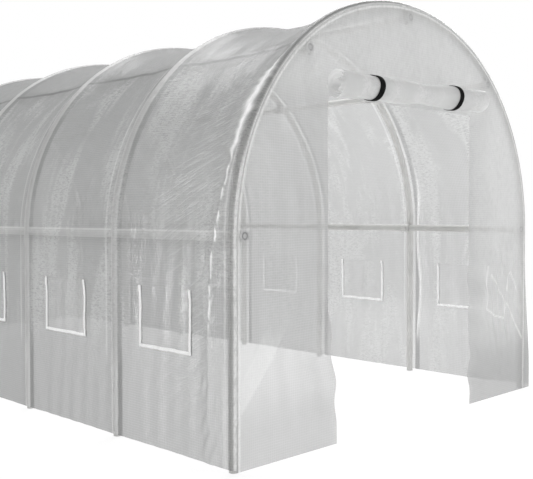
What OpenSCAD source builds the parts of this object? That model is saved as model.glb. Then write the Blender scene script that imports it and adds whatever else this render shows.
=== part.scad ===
// Polytunnel greenhouse: bent steel hoops on straight legs, five lines of
// purlins clamped inside them, a translucent film cover with flapped side
// windows, and end panels with a wide doorway whose door is rolled up.
// Millimetres, +Z up. The front faces -Y and the tunnel runs along Y.
// Origin on the ground, at the middle of the box that holds the whole tunnel.

/* [Frame] */
// Distance from one hoop to the next
bay_len = 772; // [650:1:900]
// Distance between the two legs of a hoop, centre to centre
span = 2260; // [2000:10:2500]
// Height of the straight legs
leg_h = 905; // [850:1:1000]
// Radius of the haunch bends as a share of half the span
haunch_share = 0.94; // [0.88:0.01:0.97]
// Angle that each haunch bend turns through, degrees
haunch_angle = 69; // [60:1:75]
// Outside diameter of every tube
tube_d = 38; // [28:1:42]
// Height of the side rails above the tops of the legs
rail_rise = 12; // [-60:1:20]
// Angle of the upper purlins around the haunch bend, degrees
upper_angle = 51; // [40:1:56]

/* [Clamps] */
// Wall thickness of the clamp sleeves
clamp_t = 4; // [3:0.5:6]
// Half length of a clamp sleeve along the purlin
clamp_half = 29; // [26:1:40]
// Half length of the clamp saddle along the hoop
saddle_half = 20; // [14:1:30]
// Half width of the clamp saddle across the hoop
saddle_w = 13; // [8:1:13]
// Diameter of the clamp nut
nut_d = 18; // [12:1:22]
// Height of the clamp nut
nut_h = 9; // [6:1:14]
// Diameter of the round recess in a purlin end cap
cap_recess_d = 22; // [12:1:24]
// Depth of that recess
cap_recess = 2; // [1:0.5:3]

/* [Cover] */
// Thickness of the cover film as a solid
film_t = 2.4; // [1.6:0.2:4]
// Height of the cover's lower edge above the ground
cover_lift = 10; // [6:1:20]

/* [Windows] */
// Width of a window flap
win_w = 352; // [260:1:420]
// Height of the lower edge of the window flaps
win_low = 430; // [300:1:480]
// Height of a window flap
win_h = 262; // [200:1:300]
// Width of the fastening tape on a flap
tape_w = 15; // [10:1:22]
// How far the flap laps over the wall round its window
flap_lap = 24; // [22:1:40]
// Thickness of a flap as a solid
flap_t = 1.6; // [1.2:0.2:2.4]
// Thickness of the fastening tape
tape_t = 1.2; // [0.8:0.1:2]

/* [Door] */
// Width of the doorway
door_w = 1080; // [900:10:1160]
// Height of the doorway
door_h = 1500; // [1350:10:1520]
// How far the door laps over each side of the doorway
door_lap = 70; // [30:1:90]
// Radius of the rolled door
roll_r = 57; // [40:1:70]
// Height of the rolled door's middle above the top of the doorway
roll_rise = 62; // [45:1:75]
// Width of a door strap
strap_w = 28; // [20:1:40]
// Thickness of a door strap
strap_t = 1.8; // [1.2:0.2:3]
// Distance of each strap from the middle of the door
strap_at = 300; // [200:5:400]

/* [Hidden] */
$fn = 96;
// Number of bays between hoops
bay_count = 6;
// Clearance between pieces that lie against one another
fit = 0.3;
// Facets of the cover round a haunch, over the crown and along one bay
haunch_steps = 16;
crown_steps = 10;
bay_steps = 4;
half = span / 2;
haunch_r = haunch_share * half;
rail_h = leg_h + rail_rise;
tube_r = tube_d / 2;
sleeve_r = tube_r + fit + clamp_t;
// Distance from a hoop's centre line to the purlins inside it
purlin_off = tube_r + fit + sleeve_r;
crown_r = haunch_r + (half - haunch_r) / cos(haunch_angle);
crown_z = leg_h - (crown_r - haunch_r) * sin(haunch_angle);
apex_z = crown_z + crown_r;
// Distance from a hoop's centre line to the inner face of the cover
skin = tube_r + fit;
// The cover dips between hoops until it lies on the purlins; lean is its steepest slope
dip = skin + purlin_off - tube_r - fit;
lean = atan(4 * dip * (1 - 1 / bay_steps) / bay_len);
// Outer face of the wall cover, the flaps and the tapes
wall_x = half + skin + film_t;
flap_x = wall_x + fit + flap_t;
// Reach of the part in front of the first hoop and behind the last one
panel_out = skin + film_t;
front_reach = panel_out + fit + 2 * (roll_r + fit + strap_t);
back_reach = panel_out + fit + film_t;
run = bay_count * bay_len;
front_y = -run / 2 + (front_reach - back_reach) / 2;
back_y = front_y + run;
roll_y = front_y - panel_out - 2 * fit - strap_t - roll_r;
roll_z = door_h + roll_rise;
door_flap_w = door_w + 2 * door_lap;
steel = [0.74, 0.74, 0.72];
film_c = [0.86, 0.87, 0.88, 0.55];
flap_c = [0.9, 0.91, 0.92, 0.6];

// Distance of hoop n from the origin along the tunnel
function hoop_y(n) = front_y + n * bay_len;

// Where the purlins run: [x, z, angle of the outward direction]
function haunch_at(a) = [half - haunch_r + (haunch_r - purlin_off) * cos(a),
  leg_h + (haunch_r - purlin_off) * sin(a), a];
ridge_at = [0, apex_z - purlin_off, 90];
upper_at = haunch_at(upper_angle);
side_at = [half - purlin_off, rail_h, 0];
// The same place on the left side
function left_of(p) = [-p[0], p[1], 180 - p[2]];

// One bend of tube in the XZ plane about [cx, cz], from angle a0 through da
module bend(cx, cz, r, a0, da) {
  translate([cx, 0, cz])
    rotate([90, 0, 0])
      rotate([0, 0, a0])
        rotate_extrude(angle = da)
          translate([r, 0])
            circle(r = tube_r);
}

// The bent top of hoop n: a crown tube butted between two haunch tubes
module arch(n) {
  butt = asin(fit / crown_r);
  color(steel)
    translate([0, hoop_y(n), 0]) {
      bend(half - haunch_r, leg_h, haunch_r, 0, haunch_angle);
      bend(0, crown_z, crown_r, haunch_angle + butt, 180 - 2 * haunch_angle - 2 * butt);
      bend(haunch_r - half, leg_h, haunch_r, 180 - haunch_angle, haunch_angle);
    }
}

// The two straight legs of hoop n
module legs(n) {
  color(steel)
    for (s = [-1, 1])
      translate([s * half, hoop_y(n), 0])
        cylinder(r = tube_r, h = leg_h);
}

// One line of purlin tubes, one tube to a bay
module purlin(at) {
  color(steel)
    for (n = [0 : bay_count - 1]) {
      from = hoop_y(n) + (n == 0 ? -tube_r + 5 : 1);
      to = hoop_y(n + 1) + (n == bay_count - 1 ? tube_r - 5 : -1);
      translate([at[0], from, at[1]])
        rotate([-90, 0, 0])
          cylinder(r = tube_r, h = to - from);
    }
}

// A clamp: sleeve round the purlin, saddle against the hoop, nut inside
module clamp(y0, y1) {
  difference() {
    union() {
      translate([0, y0, 0])
        rotate([-90, 0, 0])
          cylinder(r = sleeve_r, h = y1 - y0);
      translate([0, -saddle_w, -saddle_half])
        cube([purlin_off, 2 * saddle_w, 2 * saddle_half]);
      translate([-sleeve_r - nut_h + 2, 0, 0])
        rotate([0, 90, 0])
          cylinder(d = nut_d, h = nut_h, $fn = 6);
    }
    translate([0, y0 - 1, 0])
      rotate([-90, 0, 0])
        cylinder(r = tube_r + fit, h = y1 - y0 + 2);
    translate([purlin_off, 0, -saddle_half - 1])
      cylinder(r = tube_r + 2 * fit, h = 2 * saddle_half + 2);
  }
}

// One line of clamps, one at each hoop
module clamps(at) {
  color([0.66, 0.66, 0.65])
    for (n = [0 : bay_count])
      translate([at[0], hoop_y(n), at[1]])
        rotate([0, -at[2], 0])
          clamp(n == 0 ? -tube_r + 5 : -clamp_half,
            n == bay_count ? tube_r - 5 : clamp_half);
}

// End cap with a round recess, facing -Y, its face at y = 0
module end_cap() {
  difference() {
    rotate([-90, 0, 0])
      cylinder(r = sleeve_r, h = 5);
    translate([0, -1, 0])
      rotate([-90, 0, 0])
        cylinder(d = cap_recess_d, h = 1 + cap_recess);
  }
}

// The caps on both ends of all five purlin lines
module purlin_end_caps() {
  color([0.42, 0.42, 0.42])
    for (at = [ridge_at, upper_at, left_of(upper_at), side_at, left_of(side_at)]) {
      translate([at[0], front_y - tube_r, at[1]])
        end_cap();
      translate([at[0], back_y + tube_r, at[1]])
        mirror([0, 1, 0])
          end_cap();
    }
}

// A two-dimensional outline in X and Z drawn out along the tunnel
module along(y0, y1) {
  translate([0, y1, 0])
    rotate([90, 0, 0])
      linear_extrude(height = y1 - y0)
        children();
}

// Where the cover's column j lies along the tunnel, ends included
function cover_y(j) = j == 0 ? front_y - panel_out
  : j > bay_count * bay_steps + 1 ? back_y + panel_out : hoop_y((j - 1) / bay_steps);

// Share of the full dip at column j: none at a hoop, all of it halfway to the next
function bow(j) = j == 0 || j > bay_count * bay_steps + 1 ? 0
  : let(u = (j - 1) / bay_steps - floor((j - 1) / bay_steps)) 4 * u * (1 - u);

// Share of the full dip at angle a round the hoop: none at the eaves, all of it from the upper purlins on
function rise(a) = let(b = min(a, 180 - a)) b > upper_angle ? 1 : (1 - cos(180 * b / upper_angle)) / 2;

// A curved length of the cover over all the bays, dipping from hoop to hoop, in n facets round
module cover_bend(cx, cz, r, a0, a1, n) {
  cols = bay_count * bay_steps + 2;
  da = (a1 - a0) / n;
  layer = (cols + 1) * (n + 1);
  points = [for (t = [0, film_t], j = [0 : cols], i = [0 : n])
    let(a = a0 + da * i, d = (r + skin / cos(lean) + t) / cos(da / 2) - dip * bow(j) * rise(a))
    [cx + d * cos(a), cover_y(j), cz + d * sin(a)]];
  // Number of the point in row i and column j, on the inner face k = 0 or the outer face k = 1
  function at(k, j, i) = k * layer + j * (n + 1) + i;
  skins = [for (j = [0 : cols - 1], i = [0 : n - 1]) each [
    [at(1, j, i), at(1, j, i + 1), at(1, j + 1, i + 1)],
    [at(1, j, i), at(1, j + 1, i + 1), at(1, j + 1, i)],
    [at(0, j, i), at(0, j + 1, i + 1), at(0, j, i + 1)],
    [at(0, j, i), at(0, j + 1, i), at(0, j + 1, i + 1)]]];
  long_edges = [for (j = [0 : cols - 1]) each [
    [at(1, j, 0), at(1, j + 1, 0), at(0, j + 1, 0), at(0, j, 0)],
    [at(1, j + 1, n), at(1, j, n), at(0, j, n), at(0, j + 1, n)]]];
  end_edges = [for (i = [0 : n - 1]) each [
    [at(1, 0, i + 1), at(1, 0, i), at(0, 0, i), at(0, 0, i + 1)],
    [at(1, cols, i), at(1, cols, i + 1), at(0, cols, i + 1), at(0, cols, i)]]];
  color(film_c)
    polyhedron(points = points, faces = concat(skins, long_edges, end_edges), convexity = 10);
}

// The cover over the right haunch, and over the left one
module right_haunch_cover() {
  cover_bend(half - haunch_r, leg_h, haunch_r, 0, haunch_angle, haunch_steps);
}

module left_haunch_cover() {
  cover_bend(haunch_r - half, leg_h, haunch_r, 180 - haunch_angle, 180, haunch_steps);
}

// The cover over the crown of the hoops
module crown_cover() {
  cover_bend(0, crown_z, crown_r, haunch_angle, 180 - haunch_angle, crown_steps);
}

// A straight side wall of the cover with its window openings, side s
module wall_cover(s) {
  x0 = s > 0 ? half + skin : -wall_x;
  color(film_c)
    difference() {
      translate([x0, front_y - panel_out, cover_lift])
        cube([film_t, run + 2 * panel_out, leg_h - cover_lift]);
      for (n = [0 : bay_count - 1])
        translate([x0 - 1, hoop_y(n + 0.5) - win_w / 2 + flap_lap, win_low + flap_lap])
          cube([film_t + 2, win_w - 2 * flap_lap, win_h - 2 * flap_lap]);
    }
}

// The flaps that close the windows of side s
module window_flaps(s) {
  color(flap_c)
    for (n = [0 : bay_count - 1])
      translate([s > 0 ? wall_x + fit : -flap_x, hoop_y(n + 0.5) - win_w / 2, win_low])
        cube([flap_t, win_w, win_h]);
}

// The fastening tapes of side s, open at the top like a letter U
module window_tapes(s) {
  color([0.97, 0.97, 0.96])
    for (n = [0 : bay_count - 1])
      translate([s > 0 ? flap_x : -flap_x - tape_t, hoop_y(n + 0.5) - win_w / 2, win_low])
        difference() {
          cube([tape_t, win_w, win_h]);
          translate([-1, tape_w, tape_w])
            cube([tape_t + 2, win_w - 2 * tape_w, win_h]);
        }
}

// Points on an arc about [cx, cz] from angle a0 to a1, in n steps
function arc(cx, cz, r, a0, a1, n) =
  [for (i = [0 : n]) [cx + r * cos(a0 + (a1 - a0) * i / n), cz + r * sin(a0 + (a1 - a0) * i / n)]];

// The outline that an end panel fills, just inside the cover
module end_outline() {
  grow = skin - fit;
  polygon(concat([[-half - grow, cover_lift], [half + grow, cover_lift]],
    arc(half - haunch_r, leg_h, haunch_r + grow, 0, haunch_angle - 1, 23),
    arc(0, crown_z, crown_r + grow, haunch_angle, 180 - haunch_angle, 18),
    arc(haunch_r - half, leg_h, haunch_r + grow, 181 - haunch_angle, 180, 23)));
}

// The part of the front panel inside a window of the end outline
module front_part(x0, z0, w, h) {
  color(film_c)
    along(front_y - panel_out, front_y - skin)
      intersection() {
        end_outline();
        translate([x0, z0])
          square([w, h]);
      }
}

// The front panel beside the doorway, and over it
module front_panel_left() {
  front_part(-span, 0, span - door_w / 2, door_h);
}

module front_panel_right() {
  front_part(door_w / 2, 0, span, door_h);
}

module front_panel_head() {
  front_part(-span, door_h, 2 * span, apex_z);
}

// The rolled door, a thick roll of film
module front_door_roll() {
  color(flap_c)
    translate([-door_flap_w / 2, roll_y, roll_z])
      rotate([0, 90, 0])
        cylinder(r = roll_r, h = door_flap_w);
}

// The two straps that hold the rolled door up
module front_door_straps() {
  color([0.05, 0.05, 0.05])
    for (s = [-1, 1])
      translate([s * strap_at - strap_w / 2, roll_y, roll_z])
        rotate([0, 90, 0])
          difference() {
            cylinder(r = roll_r + fit + strap_t, h = strap_w);
            translate([0, 0, -1])
              cylinder(r = roll_r + fit, h = strap_w + 2);
          }
}

// The back end panel with its doorway
module back_end_panel() {
  color(film_c)
    along(back_y + skin, back_y + panel_out)
      difference() {
        end_outline();
        translate([-door_w / 2, 0])
          square([door_w, door_h]);
      }
}

// The closed door over the back doorway
module back_door_flap() {
  color(flap_c)
    translate([-door_flap_w / 2, back_y + panel_out + fit, cover_lift])
      cube([door_flap_w, film_t, door_h + roll_rise - cover_lift]);
}

arch(0);  // hoop_1_arch
arch(1);  // hoop_2_arch
arch(2);  // hoop_3_arch
arch(3);  // hoop_4_arch
arch(4);  // hoop_5_arch
arch(5);  // hoop_6_arch
arch(6);  // hoop_7_arch
legs(0);  // hoop_1_legs
legs(1);  // hoop_2_legs
legs(2);  // hoop_3_legs
legs(3);  // hoop_4_legs
legs(4);  // hoop_5_legs
legs(5);  // hoop_6_legs
legs(6);  // hoop_7_legs
purlin(ridge_at);  // ridge_purlin
purlin(left_of(upper_at));  // left_upper_purlin
purlin(upper_at);  // right_upper_purlin
purlin(left_of(side_at));  // left_side_rail
purlin(side_at);  // right_side_rail
clamps(ridge_at);  // ridge_clamps
clamps(left_of(upper_at));  // left_upper_clamps
clamps(upper_at);  // right_upper_clamps
clamps(left_of(side_at));  // left_rail_clamps
clamps(side_at);  // right_rail_clamps
purlin_end_caps();
wall_cover(-1);  // left_wall_cover
left_haunch_cover();
crown_cover();
right_haunch_cover();
wall_cover(1);  // right_wall_cover
window_flaps(-1);  // left_window_flaps
window_flaps(1);  // right_window_flaps
window_tapes(-1);  // left_window_tapes
window_tapes(1);  // right_window_tapes
front_panel_left();
front_panel_right();
front_panel_head();
front_door_roll();
front_door_straps();
back_end_panel();
back_door_flap();
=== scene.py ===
import math
import bpy
import numpy as np
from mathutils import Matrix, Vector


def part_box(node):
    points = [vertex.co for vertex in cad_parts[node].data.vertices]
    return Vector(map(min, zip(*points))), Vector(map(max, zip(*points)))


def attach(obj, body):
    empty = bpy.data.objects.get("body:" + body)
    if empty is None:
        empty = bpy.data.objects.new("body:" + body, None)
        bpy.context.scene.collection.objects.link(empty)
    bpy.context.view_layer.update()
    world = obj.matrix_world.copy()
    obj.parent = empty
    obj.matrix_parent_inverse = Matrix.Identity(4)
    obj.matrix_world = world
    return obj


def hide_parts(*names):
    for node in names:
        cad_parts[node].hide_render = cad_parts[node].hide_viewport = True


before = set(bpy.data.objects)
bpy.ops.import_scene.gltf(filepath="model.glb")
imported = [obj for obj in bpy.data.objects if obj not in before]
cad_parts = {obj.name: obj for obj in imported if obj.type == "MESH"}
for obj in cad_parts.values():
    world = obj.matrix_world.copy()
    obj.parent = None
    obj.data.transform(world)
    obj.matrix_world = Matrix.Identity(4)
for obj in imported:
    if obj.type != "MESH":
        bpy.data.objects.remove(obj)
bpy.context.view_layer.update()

# ---------------------------------------------------------------- sizes read from the frame (metres)
leg_lo, leg_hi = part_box("hoop_1_legs")
TUBE_R = (leg_hi[1] - leg_lo[1]) / 2
FRONT = (leg_hi[1] + leg_lo[1]) / 2
HALF = leg_hi[0] - TUBE_R
LEG = leg_hi[2]
BAYS = 6
HAUNCH_SHARE, HAUNCH_DEG, UPPER_DEG = 0.94, 69, 51  # as in part.scad
back_lo, back_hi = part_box("hoop_7_legs")
BACK = (back_hi[1] + back_lo[1]) / 2
BAY = (BACK - FRONT) / BAYS
HAUNCH_R = HAUNCH_SHARE * HALF
ANG = math.radians(HAUNCH_DEG)
CROWN_R = HAUNCH_R + (HALF - HAUNCH_R) / math.cos(ANG)
CROWN_Z = LEG - (HALF - HAUNCH_R) * math.tan(ANG)
S_HAUNCH = LEG + HAUNCH_R * ANG
S_CROWN = S_HAUNCH + CROWN_R * (math.pi - 2 * ANG)
S_ALL = 2 * S_HAUNCH + CROWN_R * (math.pi - 2 * ANG)
Q_UPPER = LEG + HAUNCH_R * math.radians(UPPER_DEG)
TOP = CROWN_Z + CROWN_R
LIFT = 0.011  # the lower edge of the film above the ground
FILM = TUBE_R + 0.0015  # the film over a tube, from the tube's centre
HEM = 0.004  # how far an end panel reaches past the hoop's centre line
DOOR_HALF = 0.54
DOOR_H = 1.5
HEAD_EDGE = DOOR_H + 0.032
rail_lo, rail_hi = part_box("right_side_rail")
RAIL_X, RAIL_Z = (rail_lo[0] + rail_hi[0]) / 2, (rail_lo[2] + rail_hi[2]) / 2
upper_lo, upper_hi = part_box("right_upper_purlin")
UPPER_XZ = (upper_lo[0] + upper_hi[0]) / 2, (upper_lo[2] + upper_hi[2]) / 2
ridge_lo, ridge_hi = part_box("ridge_purlin")
RIDGE_Z = (ridge_lo[2] + ridge_hi[2]) / 2
PANEL_GAP = 0.0022
PANEL_Y = FRONT - TUBE_R - PANEL_GAP
BACK_Y = BACK + TUBE_R + PANEL_GAP
roll_lo, roll_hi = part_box("front_door_roll")
ROLL_Y = (roll_lo[1] + roll_hi[1]) / 2
ROLL_Z = (roll_lo[2] + roll_hi[2]) / 2
ROLL_R = (roll_hi[2] - roll_lo[2]) / 2
ROLL_HALF = roll_hi[0]
WIN_W, WIN_LOW, WIN_H, TAPE_W = 0.352, 0.430, 0.262, 0.015
TAPE_THICK, STRAP_THICK = 0.0011, 0.0018
RING_R = 0.013  # radius of the painted ring of shade round each purlin's end cap on an end panel


# ---------------------------------------------------------------- shape helpers
def step(a, b, x):
    """0 before a, 1 after b, and a smooth cubic between them."""
    t = np.clip((x - a) / (b - a), 0, 1)
    return t * t * (3 - 2 * t)


def waves(u, v, seed, count, shortest, longest, heading, spread):
    """Sum of count cosine waves over (u, v). Each runs in a heading, in radians from u, give or take spread,
    with a wavelength between shortest and longest in metres. The sum is scaled to about -1 to 1."""
    rng = np.random.default_rng(seed)
    length = shortest * (longest / shortest) ** rng.random(count)
    way = heading + spread * (2 * rng.random(count) - 1)
    phase = 2 * math.pi * rng.random(count)
    u, v = np.broadcast_arrays(u, v)
    k = 2 * math.pi / length
    turn = u[..., None] * (k * np.cos(way)) + v[..., None] * (k * np.sin(way)) + phase
    return np.cos(turn).sum(-1) / math.sqrt(count)


def hoop(s, off):
    """Point at arc length s along the hoop's centre line, from the left foot over the top to the right foot,
    pushed outwards by off. Legs are straight, haunches and crown are arcs that meet smoothly.
    Returns x, z and the angle of the outward normal from the -X direction."""
    s = np.asarray(s, float)
    turn_l = np.clip((s - LEG) / HAUNCH_R, 0, ANG)
    turn_c = np.clip((s - S_HAUNCH) / CROWN_R, 0, math.pi - 2 * ANG)
    turn_r = np.clip((s - S_CROWN) / HAUNCH_R, 0, ANG)
    a = turn_l + turn_c + turn_r
    inset = HALF - HAUNCH_R
    cx = np.where(s < S_HAUNCH, -inset, np.where(s > S_CROWN, inset, 0.0))
    cz = np.where((s < S_HAUNCH) | (s > S_CROWN), LEG, CROWN_Z)
    r = np.where((s < S_HAUNCH) | (s > S_CROWN), HAUNCH_R, CROWN_R)
    drop = np.minimum(s - LEG, 0) + np.minimum(S_ALL - LEG - s, 0)
    x = cx - (r + off) * np.cos(a)
    z = cz + (r + off) * np.sin(a) + drop
    return x, z, a


def half_width(z, off):
    """Half the width of the arch at height z, for an outline pushed outwards by off."""
    z = np.asarray(z, float)
    knee = LEG + (HAUNCH_R + off) * math.sin(ANG)
    haunch = HALF - HAUNCH_R + np.sqrt(np.maximum((HAUNCH_R + off) ** 2 - np.maximum(z - LEG, 0) ** 2, 0))
    crown = np.sqrt(np.maximum((CROWN_R + off) ** 2 - (z - CROWN_Z) ** 2, 0))
    return np.where(z > knee, crown, haunch)


def grid_quads(rows, cols, start=0):
    """Corner numbers, shape (rows - 1, columns - 1, 4), of the quads of a grid of points numbered from start."""
    index = np.arange(rows * cols).reshape(rows, cols) + start
    return np.stack([index[:-1, :-1], index[:-1, 1:], index[1:, 1:], index[1:, :-1]], -1)


def mesh_piece(name, points, uv, material, keep=None, flip=False):
    """Mesh of a grid of points, shape (rows, columns, 3), with the grid's own UV in metres.
    keep is a mask of the grid's quads that stay. flip turns the faces over."""
    quads = grid_quads(*points.shape[:2])
    quads = quads.reshape(-1, 4) if keep is None else quads[keep]
    quads = quads[:, ::-1] if flip else quads
    used, quads = np.unique(quads, return_inverse=True)
    quads = quads.reshape(-1, 4)
    return build(name, points.reshape(-1, 3)[used], quads, uv.reshape(-1, 2)[used], material)


def used_corners(keep):
    """Mask of the grid points that the kept quads use."""
    rows, cols = keep.shape
    used = np.zeros((rows + 1, cols + 1), bool)
    for i, j in ((0, 0), (0, 1), (1, 0), (1, 1)):
        used[i:rows + i, j:cols + j] |= keep
    return used


def hoop_offset(x, z):
    """How far the point (x, z) lies outside the hoop's centre line."""
    inset = HALF - HAUNCH_R
    over = np.arctan2(z - LEG, np.abs(x) - inset) > ANG
    haunch = np.hypot(np.abs(x) - inset, np.maximum(z - LEG, 0)) - HAUNCH_R
    return np.where(over, np.hypot(x, z - CROWN_Z) - CROWN_R, haunch)


def mark(obj, name, values):
    """Writes one number per vertex to the mesh as the attribute name, for the material to read."""
    layer = obj.data.attributes.new(name, "FLOAT", "POINT")
    layer.data.foreach_set("value", np.ascontiguousarray(values, dtype=np.float32))


def build(name, verts, quads, uv, material):
    """Mesh object at the origin from vertex, quad and UV arrays."""
    mesh = bpy.data.meshes.new(name)
    mesh.vertices.add(len(verts))
    mesh.vertices.foreach_set("co", np.ascontiguousarray(verts, dtype=np.float32).ravel())
    mesh.loops.add(quads.size)
    mesh.loops.foreach_set("vertex_index", np.ascontiguousarray(quads, dtype=np.int32).ravel())
    mesh.polygons.add(len(quads))
    mesh.polygons.foreach_set("loop_start", np.arange(0, quads.size, 4, dtype=np.int32))
    layer = mesh.uv_layers.new(name="UVMap")
    layer.data.foreach_set("uv", np.ascontiguousarray(uv[quads.ravel()], dtype=np.float32).ravel())
    mesh.update(calc_edges=True)
    mesh.polygons.foreach_set("use_smooth", np.full(len(quads), True))
    mesh.validate()
    mesh.materials.append(material)
    obj = bpy.data.objects.new(name, mesh)
    bpy.context.scene.collection.objects.link(obj)
    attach(obj, "root")
    return obj


def joined(parts):
    """Vertex, quad and UV arrays of several grids (points, uv) put in one mesh."""
    verts, quads, uvs, start = [], [], [], 0
    for points, uv in parts:
        quads.append(grid_quads(*points.shape[:2], start).reshape(-1, 4))
        verts.append(points.reshape(-1, 3))
        uvs.append(uv.reshape(-1, 2))
        start += len(verts[-1])
    return np.concatenate(verts), np.concatenate(quads), np.concatenate(uvs)


def thick(obj, depth):
    """Gives a sheet its thickness."""
    mod = obj.modifiers.new("thickness", "SOLIDIFY")
    mod.thickness = depth
    mod.offset = 0
    mod.use_even_offset = False


# ---------------------------------------------------------------- material helpers
def group(name, ins, outs):
    """Empty shader node group with the given (name, socket type, default) inputs and outputs."""
    tree = bpy.data.node_groups.new(name, "ShaderNodeTree")
    for label, kind, default in ins:
        sock = tree.interface.new_socket(name=label, in_out="INPUT", socket_type=kind)
        if default is not None:
            sock.default_value = default
    for label, kind in outs:
        tree.interface.new_socket(name=label, in_out="OUTPUT", socket_type=kind)
    return tree, tree.nodes.new("NodeGroupInput"), tree.nodes.new("NodeGroupOutput")


def put(tree, kind, links=(), **values):
    """New node. values are set as its attributes, and links, (socket, source or number), link or set its inputs."""
    node = tree.nodes.new(kind)
    for key, value in values.items():
        setattr(node, key, value)
    for key, source in links:
        if hasattr(source, "is_output"):
            tree.links.new(source, node.inputs[key])
        else:
            node.inputs[key].default_value = source
    return node


def calc(tree, how, a, b=0.0, c=0.0, clamp=False):
    """Output of a Math node."""
    return put(tree, "ShaderNodeMath", [(0, a), (1, b), (2, c)], operation=how, use_clamp=clamp).outputs[0]


def ramp(tree, value, low, high, to_low=0.0, to_high=1.0):
    """Output of a smooth Map Range node."""
    links = [("Value", value), ("From Min", low), ("From Max", high), ("To Min", to_low), ("To Max", to_high)]
    return put(tree, "ShaderNodeMapRange", links, interpolation_type="SMOOTHSTEP").outputs["Result"]


def blend(tree, share, low, high):
    """Colour output of a Mix node, from low to high by share. A plain colour is given as red, green and blue."""
    ends = [end if hasattr(end, "is_output") else tuple(end) + (1,) for end in (low, high)]
    return put(tree, "ShaderNodeMix", [(0, share), (6, ends[0]), (7, ends[1])], data_type="RGBA").outputs[2]


def noise(tree, vector, scale, detail=2.0, rough=0.5, twist=0.0):
    """Fac output of a Noise texture."""
    return put(tree, "ShaderNodeTexNoise", [("Vector", vector), ("Scale", scale), ("Detail", detail),
                                            ("Roughness", rough), ("Distortion", twist)]).outputs["Fac"]


def stretched(tree, vector, x, y):
    """The vector with its axes multiplied, so that a texture is drawn out along the small ones."""
    links = [("Vector", vector), ("Scale", (x, y, 1.0))]
    return put(tree, "ShaderNodeMapping", links, vector_type="POINT").outputs[0]


def scrim_group():
    """Woven reinforcing grid: thin lines a pitch apart along both axes of the sheet's own UV, in metres."""
    tree, gin, gout = group("scrim_grid",
                            [("UV", "NodeSocketVector", None), ("Pitch", "NodeSocketFloat", 0.0107),
                             ("Thread", "NodeSocketFloat", 0.0016)],
                            [("Threads", "NodeSocketFloat")])
    wob = noise(tree, gin.outputs["UV"], 14.0, 2.0)
    shift = calc(tree, "MULTIPLY_ADD", wob, 0.006, -0.003)
    parts = put(tree, "ShaderNodeSeparateXYZ", [(0, gin.outputs["UV"])])
    half = calc(tree, "MULTIPLY", gin.outputs["Pitch"], 0.5)
    lines = []
    for axis in (0, 1):
        moved = calc(tree, "ADD", parts.outputs[axis], shift)
        gap = calc(tree, "PINGPONG", moved, half)
        lines.append(ramp(tree, gap, gin.outputs["Thread"], 0.0))
    tree.links.new(calc(tree, "MAXIMUM", lines[0], lines[1]), gout.inputs["Threads"])
    return tree


def relief_group():
    """Crinkle of thin film, from noise drawn out over its UV: Height for the bump, Haze for slow clouds, Streaks
    for patches of fine light streaks on the walls, a painted sheen of crinkled film, Sparkle to break up the
    painted highlight, and Fan for fine creases at a slant."""
    labels = ("Height", "Haze", "Streaks", "Sparkle", "Fan")
    tree, gin, gout = group("film_relief", [("UV", "NodeSocketVector", None)],
                            [(label, "NodeSocketFloat") for label in labels])
    uv = gin.outputs["UV"]
    cloud = noise(tree, uv, 7.0, 4.0, 0.55, 0.8)
    drip = noise(tree, stretched(tree, uv, 4.0, 30.0), 1.0, 3.0, 0.55, 0.8)
    fine = noise(tree, stretched(tree, uv, 16.0, 95.0), 1.0, 3.0, 0.6, 0.8)
    patch = ramp(tree, noise(tree, stretched(tree, uv, 1.2, 5.2), 1.0, 3.0, 0.55, 0.6), 0.46, 0.62)
    height = calc(tree, "MULTIPLY_ADD", drip, 0.06, calc(tree, "MULTIPLY_ADD", fine, 0.25, cloud))
    haze = ramp(tree, noise(tree, uv, 1.7, 3.0, 0.6, 0.5), 0.3, 0.7)
    up = put(tree, "ShaderNodeSeparateXYZ", [(0, uv)]).outputs[0]
    under_roof = ramp(tree, calc(tree, "PINGPONG", up, S_ALL / 2), 1.95, 1.65)
    above = calc(tree, "MULTIPLY", ramp(tree, up, 0.3, 0.6), under_roof)
    # light streaks on the walls: painted sheen of crinkled film
    streak_lines = noise(tree, stretched(tree, uv, 120.0, 38.0), 1.0, 3.0, 0.6, 0.8)
    marks = calc(tree, "MULTIPLY_ADD", streak_lines, 1.2, calc(tree, "MULTIPLY", drip, 0.5))
    streaks = calc(tree, "MULTIPLY", calc(tree, "MULTIPLY", patch, above), ramp(tree, marks, 0.68, 0.98))
    sparkle = noise(tree, stretched(tree, uv, 26.0, 60.0), 1.0, 2.0, 0.6, 1.0)
    turned = put(tree, "ShaderNodeMapping", [("Vector", uv), ("Rotation", (0, 0, -0.42))], vector_type="POINT")
    fan = ramp(tree, noise(tree, stretched(tree, turned.outputs[0], 78.0, 7.0), 1.0, 3.0, 0.6, 0.7), 0.46, 0.70)
    for socket, source in zip(gout.inputs, (height, haze, streaks, sparkle, fan)):
        tree.links.new(source, socket)
    return tree


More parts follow.
